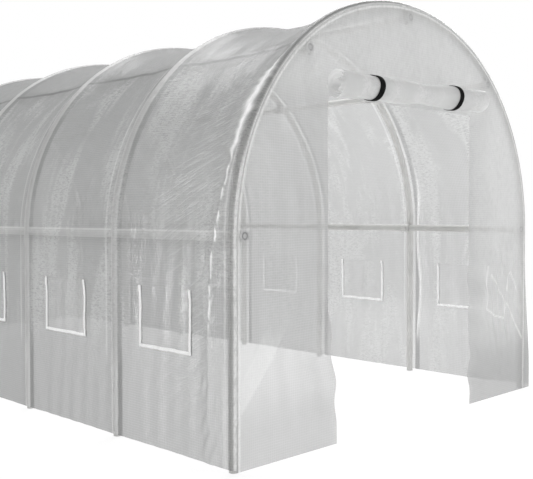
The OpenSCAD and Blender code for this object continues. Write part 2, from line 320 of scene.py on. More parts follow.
def frame_light_group():
    """Painted highlight and painted shade where the film lies on the frame, from its own UV in metres (arc length,
    place along the tunnel): a light and a dark strip and a thin light line on each hoop but the first, a light
    strip along each side rail, brightest at its top, and a dark line along each upper purlin that bends towards the
    hoops."""
    tree, gin, gout = group("frame_light_and_shade", [("UV", "NodeSocketVector", None)],
                            [("Light", "NodeSocketFloat"), ("Dark", "NodeSocketFloat")])
    parts = put(tree, "ShaderNodeSeparateXYZ", [(0, gin.outputs["UV"])])

    def line(value, at, wide, core=0.3):
        """1 where value is within a core share of the distance wide from at, falling to 0 at that distance."""
        return ramp(tree, calc(tree, "ABSOLUTE", calc(tree, "SUBTRACT", value, at)), wide, core * wide)

    turn = calc(tree, "WRAP", calc(tree, "SUBTRACT", parts.outputs[1], FRONT - BAY / 2), BAY, 0.0)
    past = calc(tree, "SUBTRACT", turn, BAY / 2)
    back = calc(tree, "GREATER_THAN", parts.outputs[1], FRONT + BAY / 2)
    q = calc(tree, "MINIMUM", parts.outputs[0], calc(tree, "SUBTRACT", S_ALL, parts.outputs[0]))
    low = ramp(tree, q, 0.44, 0.30)
    # painted highlight: a strip and a thin line on each hoop but the first
    strip = calc(tree, "MULTIPLY", line(past, -0.006, 0.027, 0.65), calc(tree, "MULTIPLY_ADD", low, 0.14, 0.34))
    thin = calc(tree, "MULTIPLY", line(past, 0.056, 0.009), calc(tree, "MULTIPLY_ADD", low, -0.20, 0.20))
    light = calc(tree, "MULTIPLY", calc(tree, "MAXIMUM", strip, thin), back)
    # painted shade: a strip beside each hoop but the first
    dark = calc(tree, "MULTIPLY", calc(tree, "MULTIPLY", line(past, -0.049, 0.018, 0.65), back),
                calc(tree, "MULTIPLY_ADD", low, 0.20, 0.32))
    # painted highlight along each side rail, brightest at its top
    rail = calc(tree, "MAXIMUM", calc(tree, "MULTIPLY", line(q, RAIL_Z, 0.024, 0.7), 0.15),
                calc(tree, "MULTIPLY", line(q, RAIL_Z + 0.016, 0.007), 0.25))
    # painted shade along each upper purlin, bending towards the hoops
    inner = ramp(tree, calc(tree, "ABSOLUTE", past), 0.015, 0.03)
    near = calc(tree, "MULTIPLY_ADD", calc(tree, "ABSOLUTE", past), -2 / BAY, 1.0)
    dipped = calc(tree, "MULTIPLY_ADD", calc(tree, "MULTIPLY", near, near), 0.050, q)
    top = calc(tree, "MULTIPLY", line(dipped, Q_UPPER - 0.012, 0.018), inner)
    dark = calc(tree, "MAXIMUM", dark, calc(tree, "MULTIPLY", top, 0.60))
    light = calc(tree, "MAXIMUM", light, rail)
    tree.links.new(light, gout.inputs["Light"])
    tree.links.new(dark, gout.inputs["Dark"])
    return tree


def cap_ring_shade_group():
    """Painted rings on an end panel where the purlins' end caps stand behind it, from its own UV in metres (height,
    place across): a dark rim of painted shade and a paler disc of painted light inside it."""
    tree, gin, gout = group("cap_ring_light_and_shade", [("UV", "NodeSocketVector", None)],
                            [("Inside", "NodeSocketFloat"), ("Rim", "NodeSocketFloat")])
    parts = put(tree, "ShaderNodeSeparateXYZ", [(0, gin.outputs["UV"])])
    across = calc(tree, "ABSOLUTE", parts.outputs[1])
    rim, inside = 0.0, 0.0
    for x, z in ((0.0, RIDGE_Z), UPPER_XZ, (RAIL_X, RAIL_Z)):
        ways = (calc(tree, "SUBTRACT", across, x), calc(tree, "SUBTRACT", parts.outputs[0], z))
        squares = [calc(tree, "POWER", way, 2.0) for way in ways]
        far = calc(tree, "SQRT", calc(tree, "ADD", *squares))
        edge = ramp(tree, calc(tree, "ABSOLUTE", calc(tree, "SUBTRACT", far, RING_R)), 0.0045, 0.0018)
        disc = ramp(tree, far, 0.012, 0.007)
        rim = calc(tree, "MAXIMUM", rim, edge)
        inside = calc(tree, "MAXIMUM", inside, disc)
    # the paler disc is painted light, the rim painted shade
    tree.links.new(calc(tree, "MULTIPLY", inside, 0.25), gout.inputs["Inside"])
    tree.links.new(calc(tree, "MULTIPLY", rim, 0.85), gout.inputs["Rim"])
    return tree


SCRIM = scrim_group()
RELIEF = relief_group()
FRAME_LIGHT = frame_light_group()
CAP_RING_SHADE = cap_ring_shade_group()


def new_material(name):
    """Empty material with its node tree and output."""
    mat = bpy.data.materials.new(name)
    mat.use_nodes = True
    mat.node_tree.nodes.clear()
    return mat, mat.node_tree, mat.node_tree.nodes.new("ShaderNodeOutputMaterial")


def film(name, colour, glow, cover, through, thread, bump, rough, streaky, painted_light=None):
    """Woven clear film. colour is what it sends back, glow what it lets through softly, cover the share of the
    surface that isn't clear when seen square on, through the share of the rest that glows, thread how much the
    scrim adds and streaky how much the streaks of painted sheen show. Seen at a slant, a film is thicker and so
    less clear. The mesh's own glare mark whitens it as a painted highlight, shade darkens it as painted shade, and
    fan crinkles its bump and paints a sheen on the crinkles. painted_light is a group whose two outputs add to the
    painted highlight and shade. Light passes more easily than sight."""
    mat, tree, out = new_material(name)
    uv = put(tree, "ShaderNodeTexCoord").outputs["UV"]
    grid = put(tree, "ShaderNodeGroup", node_tree=SCRIM)
    tree.links.new(uv, grid.inputs["UV"])
    skin = put(tree, "ShaderNodeGroup", node_tree=RELIEF)
    tree.links.new(uv, skin.inputs["UV"])
    threads, haze = grid.outputs["Threads"], skin.outputs["Haze"]
    face = put(tree, "ShaderNodeLayerWeight", [("Blend", 0.5)]).outputs["Facing"]
    marks = [put(tree, "ShaderNodeAttribute", attribute_name=label, attribute_type="GEOMETRY").outputs["Fac"]
             for label in ("glare", "shade", "fan")]
    broken = ramp(tree, skin.outputs["Sparkle"], 0.35, 0.6, 0.78, 1.0)
    glare = calc(tree, "MULTIPLY", marks[0], broken, clamp=True)
    shade = marks[1]
    if painted_light:
        painted_group = put(tree, "ShaderNodeGroup", node_tree=painted_light)
        tree.links.new(uv, painted_group.inputs["UV"])
        # the group's two outputs add painted highlight and painted shade
        glare = calc(tree, "MAXIMUM", glare, painted_group.outputs[0])
        shade = calc(tree, "MAXIMUM", shade, painted_group.outputs[1])
    fan = calc(tree, "MULTIPLY", marks[2], skin.outputs["Fan"])
    streaks = calc(tree, "MULTIPLY", skin.outputs["Streaks"], streaky)
    # paler on the scrim's threads, and on streaks and crinkles as painted sheen
    threads_and_sheen = calc(tree, "MULTIPLY_ADD", threads, 3.5 * thread, calc(tree, "MAXIMUM", streaks, fan))

    def toned(base):
        """The base colour, clouded, paler on the scrim's threads and with painted sheen on streaks and crinkles,
        darker with painted shade, white with painted highlight.
        """
        cloud = blend(tree, haze, [0.93 * c for c in base], base)
        light = blend(tree, threads_and_sheen, cloud, [min(1.35 * c, 1) for c in base])
        dark = blend(tree, shade, light, [0.4 * c for c in base])
        return blend(tree, glare, dark, (0.97, 0.97, 0.97))

    fill = calc(tree, "MULTIPLY_ADD", threads, thread, cover)
    fill = calc(tree, "MULTIPLY_ADD", haze, 0.05, fill)
    fill = calc(tree, "MULTIPLY_ADD", threads_and_sheen, 0.10, fill)
    fill = calc(tree, "MULTIPLY_ADD", calc(tree, "MAXIMUM", glare, shade), 0.35, fill)
    gap = calc(tree, "MAXIMUM", calc(tree, "SUBTRACT", 1.0, fill), 0.01)
    slant = calc(tree, "DIVIDE", 1.0, calc(tree, "MAXIMUM", calc(tree, "SUBTRACT", 1.0, face), 0.2))
    fill = calc(tree, "SUBTRACT", 1.0, calc(tree, "POWER", gap, slant))
    path = put(tree, "ShaderNodeLightPath")
    lit = calc(tree, "MAXIMUM", path.outputs["Is Shadow Ray"], path.outputs["Is Diffuse Ray"])
    fill = calc(tree, "MULTIPLY", fill, calc(tree, "MULTIPLY_ADD", lit, -0.80, 1.0))
    creased = calc(tree, "MULTIPLY_ADD", fan, 0.5, skin.outputs["Height"])
    height = calc(tree, "MULTIPLY_ADD", threads, 1.4 * thread, creased)
    normal = put(tree, "ShaderNodeBump", [("Height", height), ("Strength", bump), ("Distance", 0.01)]).outputs[0]
    body = put(tree, "ShaderNodeBsdfPrincipled",
               [("Base Color", toned(colour)), ("Roughness", rough), ("Normal", normal), ("IOR", 1.48)])
    back = put(tree, "ShaderNodeBsdfTranslucent", [("Color", toned(glow)), ("Normal", normal)])
    clear = put(tree, "ShaderNodeBsdfTransparent", [("Color", (1, 1, 1, 1))])
    sheet = put(tree, "ShaderNodeMixShader", [(0, through), (1, body.outputs[0]), (2, back.outputs[0])])
    whole = put(tree, "ShaderNodeMixShader", [(0, fill), (1, clear.outputs[0]), (2, sheet.outputs[0])])
    tree.links.new(whole.outputs[0], out.inputs["Surface"])
    return mat


def solid(name, dark, light, scale, metallic, rough, bump, coord="Object", weave=None, shine=0.5):
    """Opaque surface: colour between dark and light by noise, roughness by the same noise, a fine bump.
    weave adds a pitch of cross ribs to the bump and colour."""
    mat, tree, out = new_material(name)
    where = put(tree, "ShaderNodeTexCoord").outputs[coord]
    cloud = noise(tree, where, scale, 4.0, 0.6, 0.3)
    fine = noise(tree, where, scale * 9, 2.0)
    share = ramp(tree, cloud, 0.3, 0.7)
    height = calc(tree, "MULTIPLY_ADD", fine, 0.5, cloud)
    if weave:
        ribs = put(tree, "ShaderNodeTexWave", [("Vector", where), ("Scale", weave), ("Distortion", 0.4)],
                   wave_type="BANDS", bands_direction="DIAGONAL").outputs["Fac"]
        share = calc(tree, "MULTIPLY", share, ramp(tree, ribs, 0.0, 0.6, 0.55, 1.0))
        height = calc(tree, "MULTIPLY_ADD", ribs, 1.5, height)
    tint = blend(tree, share, dark, light)
    rough_out = ramp(tree, cloud, 0.2, 0.8, rough - 0.06, rough + 0.08)
    normal = put(tree, "ShaderNodeBump", [("Height", height), ("Strength", bump), ("Distance", 0.002)]).outputs[0]
    body = put(tree, "ShaderNodeBsdfPrincipled",
               [("Base Color", tint), ("Roughness", rough_out), ("Normal", normal), ("Metallic", metallic),
                ("Specular IOR Level", shine)])
    tree.links.new(body.outputs[0], out.inputs["Surface"])
    return mat


# The five film materials are one film. Their colours differ for how light falls on each part, as painted light and
# shade: darker on the tunnel cover and window flaps, lighter on the end panels, lightest on the rolled door.
COVER_FILM = film("cover_film", colour=(0.211, 0.214, 0.213), glow=(0.423, 0.426, 0.425), cover=0.54, through=0.42,
                  thread=0.10, bump=0.40, rough=0.15, streaky=1.4, painted_light=FRAME_LIGHT)
PANEL_FILM = film("panel_film", colour=(0.42, 0.422, 0.42), glow=(0.458, 0.46, 0.458), cover=0.36, through=0.40,
                  thread=0.05, bump=0.25, rough=0.17, streaky=0.15, painted_light=CAP_RING_SHADE)
FLAP_FILM = film("flap_film", colour=(0.209, 0.212, 0.211), glow=(0.418, 0.421, 0.42), cover=0.55, through=0.42,
                 thread=0.08, bump=0.30, rough=0.15, streaky=0.6)
BACK_FILM = film("back_film", colour=(0.43, 0.432, 0.43), glow=(0.48, 0.482, 0.48), cover=0.50, through=0.45,
                 thread=0.07, bump=0.30, rough=0.20, streaky=0.3)
ROLL_FILM = film("roll_film", colour=(0.61, 0.612, 0.61), glow=(0.65, 0.652, 0.65), cover=0.46, through=0.50,
                 thread=0.0, bump=0.30, rough=0.12, streaky=0.3)
TUBE = solid("tube_steel", dark=(0.49, 0.49, 0.48), light=(0.57, 0.57, 0.56), scale=6.0, metallic=0.05,
             rough=0.42, bump=0.06)
# the tubes' steel made darker for the side rails: painted shade for their shadowed look
SHADED_RAIL = solid("rail_steel_painted_shade", dark=(0.38, 0.38, 0.37), light=(0.45, 0.45, 0.44), scale=6.0, metallic=0.05,
             rough=0.42, bump=0.06)
CLAMP = solid("clamp_steel", dark=(0.38, 0.38, 0.375), light=(0.50, 0.50, 0.49), scale=22.0, metallic=0.15,
              rough=0.38, bump=0.1)
CAP = solid("cap_plastic", dark=(0.50, 0.50, 0.50), light=(0.62, 0.62, 0.62), scale=40.0, metallic=0.0,
            rough=0.5, bump=0.1)
TAPE = solid("white_tape", dark=(0.86, 0.86, 0.86), light=(0.95, 0.95, 0.95), scale=30.0, metallic=0.0,
             rough=0.5, bump=0.4, coord="UV", weave=40.0)
WEBBING = solid("black_webbing", dark=(0.004, 0.004, 0.004), light=(0.012, 0.012, 0.012), scale=60.0, metallic=0.0,
                rough=0.85, bump=0.4, coord="UV", weave=90.0, shine=0.05)


# ---------------------------------------------------------------- tunnel cover
def bay_share(y):
    """Distance from the front hoop in bays, split into the bay's number and the share along it."""
    t = np.clip((y - FRONT) / BAY, 0, BAYS - 1e-9)
    return np.floor(t).astype(int), t - np.floor(t)


BAY_SAG = np.array([1.0, 0.93, 1.03, 0.96, 1.0, 0.94])  # each bay's sag against the first


def cover_offset(s, y):
    """How far the film lies outside the hoops' centre line at arc length s and place y. It is a tube's radius at
    each hoop and sags between them, deeper over the roof, less where a purlin holds it. Cosine folds run down the
    walls, and one sharp fold stands off the front left leg."""
    s, y = np.broadcast_arrays(s, y)
    q = np.minimum(s, S_ALL - s)
    bay, u = bay_share(y)
    t = y - FRONT
    bow = 1 - np.abs(2 * u - 1) ** 2.4
    climb = (1 - np.cos(math.pi * np.clip((q - LEG) / (Q_UPPER - LEG), 0, 1))) / 2
    depth = 0.005 + 0.046 * climb
    depth = depth - 0.010 * np.exp(-np.abs(q - Q_UPPER) / 0.09) - 0.009 * np.exp(-np.abs(q - S_ALL / 2) / 0.10)
    off = FILM - bow * depth * BAY_SAG[bay]
    free = np.sqrt(np.clip(bow, 0, 1))
    wall = 1 - step(0.95, 1.5, q)
    roof = 1 - wall
    off = off + 0.0012 * free * wall * waves(y, s, 11, 9, 0.09, 0.34, 0.0, 0.30)
    off = off + 0.0013 * free * roof * waves(y, s, 12, 8, 0.14, 0.50, 0.0, 0.45)
    near = np.exp(-np.minimum(u, 1 - u) * BAY / 0.09)
    off = off + 0.0014 * free * near * waves(y, s, 13, 8, 0.05, 0.11, 0.9, 0.9)
    left = (s < S_ALL / 2) & (bay == 0)
    fold_y = fold_line(s)
    lift = 0.017 * step(-0.25, 0.45, s) * (1 - step(0.85, 1.27, s))
    ridge = np.where(t < fold_y, t / fold_y, np.exp(-(t - fold_y) / 0.055))
    off = off + np.where(left, lift * np.clip(ridge, 0, 1), 0)
    beside = np.exp(-((t - fold_y) / 0.07) ** 2) * step(0.02, 0.06, t)
    beside = beside * (1 - step(1.0, 1.3, s))
    off = off + np.where(left, 0.0016 * beside * waves(y, s, 14, 10, 0.03, 0.07, 0.5, 0.6), 0)
    low = step(0.05, 0.2, t) * (1 - step(0.45, 0.65, t)) * (1 - step(0.35, 0.75, s))
    off = off + np.where(left, 0.0007 * low * free * waves(y, s, 15, 8, 0.05, 0.10, 0.75, 0.35), 0)
    off = off + np.where(s > S_ALL / 2, flare(t, q), 0)
    pleat = np.exp(-np.abs(y - pleat_line(q)) / 0.018)
    off = off - np.where(s > S_ALL / 2, 0.010 * pleat * step(0.1, 0.35, q) * (1 - step(0.95, 1.35, q)), 0)
    return off


def flare(t, q):
    """How far the film stands off the front right leg, t behind it and q up: most at the ground, none from 0.75 m
    up, fading backwards."""
    return 0.058 * (1 - step(0.10, 0.75, q)) * np.exp(-(np.maximum(t, 0) / 0.16) ** 2)


def cover_point(s, y, out=0.0):
    """Point of the film at arc length s and place y, pushed outwards by out. Past either end hoop the film turns in
    round the tube: y then goes on as arc length round the tube."""
    s, y = np.broadcast_arrays(np.asarray(s, float), np.asarray(y, float))
    off = cover_offset(s, np.clip(y, FRONT, BACK))
    past = np.maximum(FRONT - y, 0) + np.maximum(y - BACK, 0)
    turn = np.minimum(past / FILM, math.pi / 2)
    off = off - FILM * (1 - np.cos(turn))
    side = np.where(y < FRONT, -1.0, 1.0)
    yy = np.clip(y, FRONT, BACK) + side * FILM * np.sin(turn)
    x, z, _ = hoop(s, off + out)
    return np.stack([x, yy, z], -1)


def cover_painted_light(s, y):
    """Painted highlight (glare), painted shade (shade) and fan of the film. Painted highlight: a broken line down
    the sharp fold by the front left leg, widest over the haunch, with flecks behind it, the film's turn round the
    front hoop, a strip and a thin line behind the front left leg, and a streak down the pleat on the right wall.
    Painted shade: a thin line up the front legs, the front of the first arch, the left wall towards the back, and
    the roof. Fan: creases that run back from the fold, in the bump and as a painted sheen."""
    q = np.minimum(s, S_ALL - s)
    t = y - FRONT
    left = s < S_ALL / 2
    beyond = t - fold_line(s)
    haunch = step(1.22, 1.28, s) * (1 - step(1.60, 1.74, s))
    middle = step(1.36, 1.46, s) * (1 - step(1.58, 1.70, s))
    wide = 0.0055 + 0.010 * haunch + 0.015 * middle
    wide = wide * (1 + 0.22 * waves(s, 0 * s, 73, 5, 0.03, 0.09, 0.0, 0.0))
    beads = 0.55 + 0.45 * np.sign(waves(s, 0 * s, 72, 4, 0.07, 0.2, 0.0, 0.0) + 0.35)
    beads = np.maximum(beads, step(1.15, 1.25, s))
    fold = np.exp(-(beyond / wide) ** 2) * step(0.50, 0.60, s) * (1 - step(1.66, 1.76, s)) * beads * left
    flecks = step(1.0, 1.5, waves(s, t, 74, 9, 0.03, 0.09, 1.1, 0.5))
    flecks = flecks * step(1.20, 1.34, s) * (1 - step(1.56, 1.68, s))
    flecks = flecks * step(0.0, 0.012, beyond) * (1 - step(0.02, 0.06, beyond)) * left
    pleat = np.exp(-((y - pleat_line(q)) / 0.008) ** 2) * (1 - left) * step(0.15, 0.3, q) * (1 - step(1.0, 1.4, q))
    inner = 0.011 + 0.011 * step(1.0, 1.5, q)
    brow = 0.85 * step(0, 0.006, -t - inner) + 0.13 * step(-0.006, 0.0, -t) * (1 - step(1.1, 1.4, s))
    low = 0.30 * step(0.004, 0.012, t) * (1 - step(0.030, 0.050, t)) * (1 - step(0.34, 0.46, s)) * left
    thin = 0.40 * np.exp(-((t - 0.024) / 0.005) ** 2) * left * (1 - step(1.2, 1.4, s))
    # painted highlight
    glare = np.maximum.reduce([fold, 0.7 * flecks, brow, low, thin, 0.8 * pleat])
    leg = (0.04 + 0.20 * (1 - step(0.30, 0.55, s))) * step(-0.012, -0.007, -t) * (1 - step(-0.002, 0.003, -t))
    arch = 0.26 * step(1.2, 1.5, q) * step(-0.006, 0.0, -t) * (1 - step(0.014, 0.020, -t))
    roof = np.where(left, 0.14 * step(1.2, 1.75, q) + 0.10 * step(1.75, 2.3, q), 0.08 * step(1.2, 1.75, q))
    wall = (0.08 * step(0.3, 0.9, t) + 0.14 * step(0.7, 2.4, t)) * (1 - step(0.9, 1.2, q)) * left
    # painted shade
    shade = np.maximum.reduce([leg, arch, wall + roof])
    behind = left * step(0.0, 0.04, beyond)
    high_fan = behind * (1 - step(0.22, 0.5, beyond)) * step(0.75, 1.0, s) * (1 - step(1.40, 1.66, s))
    low_fan = behind * (1 - step(0.15, 0.35, beyond)) * (1 - step(0.7, 0.95, s)) * step(0.1, 0.4, s)
    fan = 1.25 * high_fan + 0.8 * low_fan
    return np.clip(glare, 0, 1), shade, np.clip(fan, 0, 1.25)


def fold_line(s):
    """Distance behind the front hoop, at arc length s, of the sharp fold beside the front left leg."""
    place = np.interp(s, [0, 0.546, 0.83, 0.946, 1.162, 1.32, 1.44, 1.52, 1.60, 1.66, 1.73, 1.9],
                      [0.128, 0.108, 0.092, 0.066, 0.045, 0.046, 0.046, 0.045, 0.033, 0.020, 0.006, 0.004])
    wobble = 0.004 * waves(s, 0 * s, 71, 5, 0.06, 0.16, 0.0, 0.0)
    return place + wobble * step(0.4, 0.7, s) * (1 - step(1.5, 1.8, s))


def pleat_line(q):
    """Place along the tunnel, at height q, of the pleat in the right wall beside the second hoop."""
    return FRONT + BAY - 0.060 + 0.012 * np.sin(9 * q)


def spread(keys, counts):
    """Values running through keys, with that many steps between each pair."""
    parts = [np.linspace(a, b, n, endpoint=False) for a, b, n in zip(keys[:-1], keys[1:], counts)]
    return np.concatenate(parts + [np.array([keys[-1]])])


WIN_Y0 = [FRONT + n * BAY + (BAY - WIN_W) / 2 + 0.017 for n in range(BAYS)]
LAP = 0.010
# columns of the grid in each stretch of a bay: finest in the first bay, and the same from the fourth on
BAY_COLUMNS = [[8, 26, 9, 30, 16, 6], [6, 10, 5, 24, 10, 6], [6, 8, 3, 16, 9, 6], [5, 6, 3, 13, 7, 5]]
y_keys = [FRONT - FILM * math.pi / 2, FRONT]
y_counts = [5]
for n in range(BAYS):
    a, b = WIN_Y0[n] + LAP, WIN_Y0[n] + WIN_W - LAP
    start = FRONT + n * BAY
    y_keys += [start + 0.03, start + 0.16, a, b, start + BAY - 0.03, start + BAY]
    y_counts += BAY_COLUMNS[min(n, 3)]
y_keys.append(BACK + FILM * math.pi / 2)
y_counts.append(5)
cover_y = spread(y_keys, y_counts)
w0, w1 = WIN_LOW + LAP, WIN_LOW + WIN_H - 0.001
s_keys = [LIFT, w0, w1, LEG, Q_UPPER]
cover_s = spread(s_keys + [S_ALL - key for key in s_keys[::-1]], [26, 16, 16, 84, 44, 36, 12, 12, 18])
ss, yy = np.meshgrid(cover_s, cover_y, indexing="ij")
mid_s = (cover_s[1:] + cover_s[:-1]) / 2
mid_y = (cover_y[1:] + cover_y[:-1]) / 2
mid_q = np.minimum(mid_s, S_ALL - mid_s)
in_row = (mid_q > w0) & (mid_q < w1)
in_col = np.zeros(len(mid_y), bool)
for n in range(BAYS):
    in_col |= (mid_y > WIN_Y0[n] + LAP) & (mid_y < WIN_Y0[n] + WIN_W - LAP)
cover_keep = ~(in_row[:, None] & in_col[None, :])
cover = mesh_piece("tunnel_cover", cover_point(ss, yy), np.stack([ss, yy], -1), COVER_FILM, keep=cover_keep)
cover_used = np.flatnonzero(used_corners(cover_keep))
cover_light_and_shade = cover_painted_light(ss.ravel()[cover_used], yy.ravel()[cover_used])
for label, values in zip(("glare", "shade", "fan"), cover_light_and_shade):
    mark(cover, label, values)
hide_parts("left_wall_cover", "left_haunch_cover", "crown_cover", "right_haunch_cover", "right_wall_cover")


# ---------------------------------------------------------------- window flaps and tapes
def side_s(side, q):
    """Arc length at height q up the left (side -1) or right (side 1) wall."""
    return q if side < 0 else S_ALL - q


# how far the two faces of the upright and the cross tapes stand off the film
UPRIGHT_FACES, CROSS_FACES = (0.0052, -0.0016), (0.0046, -0.0022)
for side, label in ((-1, "left"), (1, "right")):
    strips = []
    for n in range(BAYS):
        y0 = WIN_Y0[n]
        q, y = np.meshgrid(np.linspace(WIN_LOW, WIN_LOW + WIN_H, 27), np.linspace(y0, y0 + WIN_W, 35),
                           indexing="ij")
        belly = np.sin(math.pi * (q - WIN_LOW) / WIN_H) * np.sin(math.pi * (y - y0) / WIN_W)
        out = 0.0022 + 0.003 * belly + 0.0012 * belly * waves(y, q, 40 + n, 6, 0.06, 0.16, 0.3, 0.8)
        flap = mesh_piece("%s_window_flap_%d" % (label, n + 1), cover_point(side_s(side, q), y, out),
                          np.stack([q, y], -1), FLAP_FILM, flip=side > 0)
        a, w = np.meshgrid(np.linspace(0, 1, 40), np.linspace(0, 1, 5), indexing="ij")
        for edge, seed, lean in ((0, 60 + n, 0.006), (1, 80 + n, 0.004)):
            q = WIN_LOW + a * (WIN_H + 0.004)
            sway = 0.0011 * waves(a * 0.26, 0 * a, seed + 7 * (side > 0), 4, 0.10, 0.24, 0.0, 0.0)
            y = y0 + edge * (WIN_W - TAPE_W) + w * TAPE_W + sway + lean * step(0.8, 1.0, a)
            strips += [(cover_point(side_s(side, q), y, out), np.stack([a * WIN_H, w * TAPE_W], -1))
                       for out in UPRIGHT_FACES]
        y = y0 + a * WIN_W
        q = WIN_LOW + w * TAPE_W + 0.0004 * waves(y, 0 * y, 90 + n, 3, 0.10, 0.20, 0.0, 0.0)
        strips += [(cover_point(side_s(side, q), y, out), np.stack([a * WIN_W, w * TAPE_W], -1))
                   for out in CROSS_FACES]
    verts, quads, uv = joined(strips)
    tapes = build("%s_tapes" % label, verts, quads, uv, TAPE)
    thick(tapes, TAPE_THICK)
    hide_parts("%s_window_tapes" % label)
    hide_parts("%s_window_flaps" % label)


# ---------------------------------------------------------------- end panels
def end_grid(cols_mid, cols_side, rows, z_low):
    """Grid over the arch's outline: rows are heights, closer near the top, columns run from the left edge through
    the two door edges to the right edge. Returns x, z and the column's place: below 1 in size within the doorway,
    1 to 2 from its edge out to the hoop."""
    z = np.concatenate([np.linspace(z_low, DOOR_H, rows, endpoint=False),
                        DOOR_H + (TOP + HEM - DOOR_H) * np.sin(np.linspace(0, math.pi / 2, 46))])
    rim = np.concatenate([np.linspace(1, 1.94, cols_side - 8, endpoint=False), np.linspace(1.94, 2, 9)])
    c = np.concatenate([-rim[::-1], np.linspace(-1, 1, cols_mid + 1)[1:-1], rim])
    c, z = np.meshgrid(c, z, indexing="xy")
    wide = half_width(z, HEM)
    door = np.minimum(DOOR_HALF, 0.62 * wide)
    size = np.abs(c)
    x = np.sign(c) * np.where(size < 1, size * door, door + (size - 1) * (wide - door))
    return x, z, c


def line_fold(x, z, ax, az, bx, bz, wide):
    """A soft ridge along the line from (ax, az) to (bx, bz): 1 on the line, falling off over wide, and none past
    its ends."""
    length = math.hypot(bx - ax, bz - az)
    tx, tz = (bx - ax) / length, (bz - az) / length
    along = (x - ax) * tx + (z - az) * tz
    across = (z - az) * tx - (x - ax) * tz
    within = step(-0.04, 0.08, along) * (1 - step(length - 0.08, length + 0.05, along))
    return np.exp(-np.abs(across) / wide) * within


# creases on the right of the front panel, as runs of (x, z), along which a highlight is painted
CREASE_HIGHLIGHTS = [[(0.731, 0.721), (0.722, 0.492)], [(0.727, 0.488), (0.823, 0.442), (0.910, 0.425)],
           [(0.910, 0.425), (0.918, 0.483), (0.875, 0.556), (0.771, 0.672)],
           [(0.922, 0.574), (0.929, 0.643), (0.976, 0.678), (1.037, 0.573)], [(0.923, 0.511), (1.100, 0.298)]]


def near_line(x, z, ax, az, bx, bz, wide):
    """1 on the straight line from (ax, az) to (bx, bz), falling off with the distance from it over wide."""
    share = np.clip(((x - ax) * (bx - ax) + (z - az) * (bz - az)) / ((bx - ax) ** 2 + (bz - az) ** 2), 0, 1)
    return np.exp(-(np.hypot(x - ax - share * (bx - ax), z - az - share * (bz - az)) / wide) ** 2)


def below_line(x, z, ax, az, bx, bz):
    """1 to the right of the line from (ax, az) to (bx, bz), 0 to its left, and a soft edge 0.016 m wide."""
    length = math.hypot(bx - ax, bz - az)
    return step(-0.008, 0.008, ((x - ax) * (bz - az) - (z - az) * (bx - ax)) / length)


UPPER_PIN, RIDGE_PIN = (0.71, 1.70), 1.937  # (x, z) and z where the purlins' ends hold the panel forward


def front_inset(x, z, c):
    """How far the front panel lies behind its plane: the doorway's edges hang back from knee height up but for the
    purlins' ends, cosine folds hang down from the hoop, one broad ridge runs down to the left leg, and the right
    side is crumpled."""
    size = np.abs(c)
    edge = np.clip(2 - size, 0, 1) ** 1.5
    tall = step(0.05, 0.75, z) * (1 - step(1.45, 1.86, z))
    back = 0.050 * edge * tall * (1 - 0.85 * step(-0.3, 0.5, x))
    pinned = np.minimum(np.hypot(np.abs(x) - UPPER_PIN[0], z - UPPER_PIN[1]), np.hypot(x, z - RIDGE_PIN))
    back = back * step(0.03, 0.14, pinned)
    held = step(0.0, 0.35, 2 - size) * step(0.0, 0.3, z)
    back = back + 0.0016 * held * waves(x, z, 21, 8, 0.10, 0.30, 0.0, 0.35)
    loose = np.exp(-((size - 1) / 0.35) ** 2) * (1 - step(0.45, 0.95, z)) * step(0.0, 0.2, z)
    back = back + 0.007 * loose * waves(z, x, 22, 4, 0.16, 0.34, 0.0, 0.25)
    back = back - 0.006 * line_fold(x, z, -0.86, 0.51, -1.10, 0.22, 0.040) * held
    crumple = np.exp(-((x - 0.92) / 0.16) ** 2 - ((z - 0.56) / 0.26) ** 2)
    back = back + 0.007 * crumple * waves(x, z, 23, 8, 0.05, 0.14, 0.35, 0.7)
    return back


def door_sway(x, z, c):
    """Sideways wave of the doorway's free edges, fading towards the hoop."""
    size = np.abs(c)
    edge = np.clip(2 - size, 0, 1) ** 2 * np.where(size < 1, 0, 1)
    return 0.0045 * edge * (1 - step(0.55, 1.1, z)) * waves(z, np.sign(x), 24, 3, 0.20, 0.42, 0.0, 0.0)


x, z, c = end_grid(44, 80, 190, 0.001)
x = x + door_sway(x, z, c) + np.where(c > 1, flare(0, z) * (c - 1) ** 2, 0)
points = np.stack([x, PANEL_Y + front_inset(x, z, c), z], -1)
mid_c = (c[:-1, :-1] + c[:-1, 1:]) / 2
panel_keep = ~((np.abs(mid_c) < 1) & (z[1:, 1:] <= HEAD_EDGE))
panel = mesh_piece("front_panel", points, np.stack([z, x], -1), PANEL_FILM, keep=panel_keep)
panel_used = np.flatnonzero(used_corners(panel_keep))
# painted highlight on the front panel: along the hoop's rim, along the creases on the right, a lighter slash by the
# left leg, the right side and the head
off = hoop_offset(x, z)
panel_highlight = 0.75 * np.exp(-((off + 0.009) / 0.007) ** 2)
for run in CREASE_HIGHLIGHTS:
    for (ax, az), (bx, bz) in zip(run[:-1], run[1:]):
        panel_highlight = np.maximum(panel_highlight, 0.56 * near_line(x, z, ax, az, bx, bz, 0.0065))
slash = below_line(x, z, -1.126, 0.324, -1.026, 0.459) * below_line(x, z, -0.917, 0.447, -1.124, 0.203)
slash = 0.24 * slash * (1 - step(0.47, 0.56, z))
right_side = 0.24 * step(0.5, 0.8, x) * step(0.22, 0.50, z)
panel_highlight = np.maximum.reduce([panel_highlight, slash, right_side, 0.23 * step(1.42, 1.62, z)])
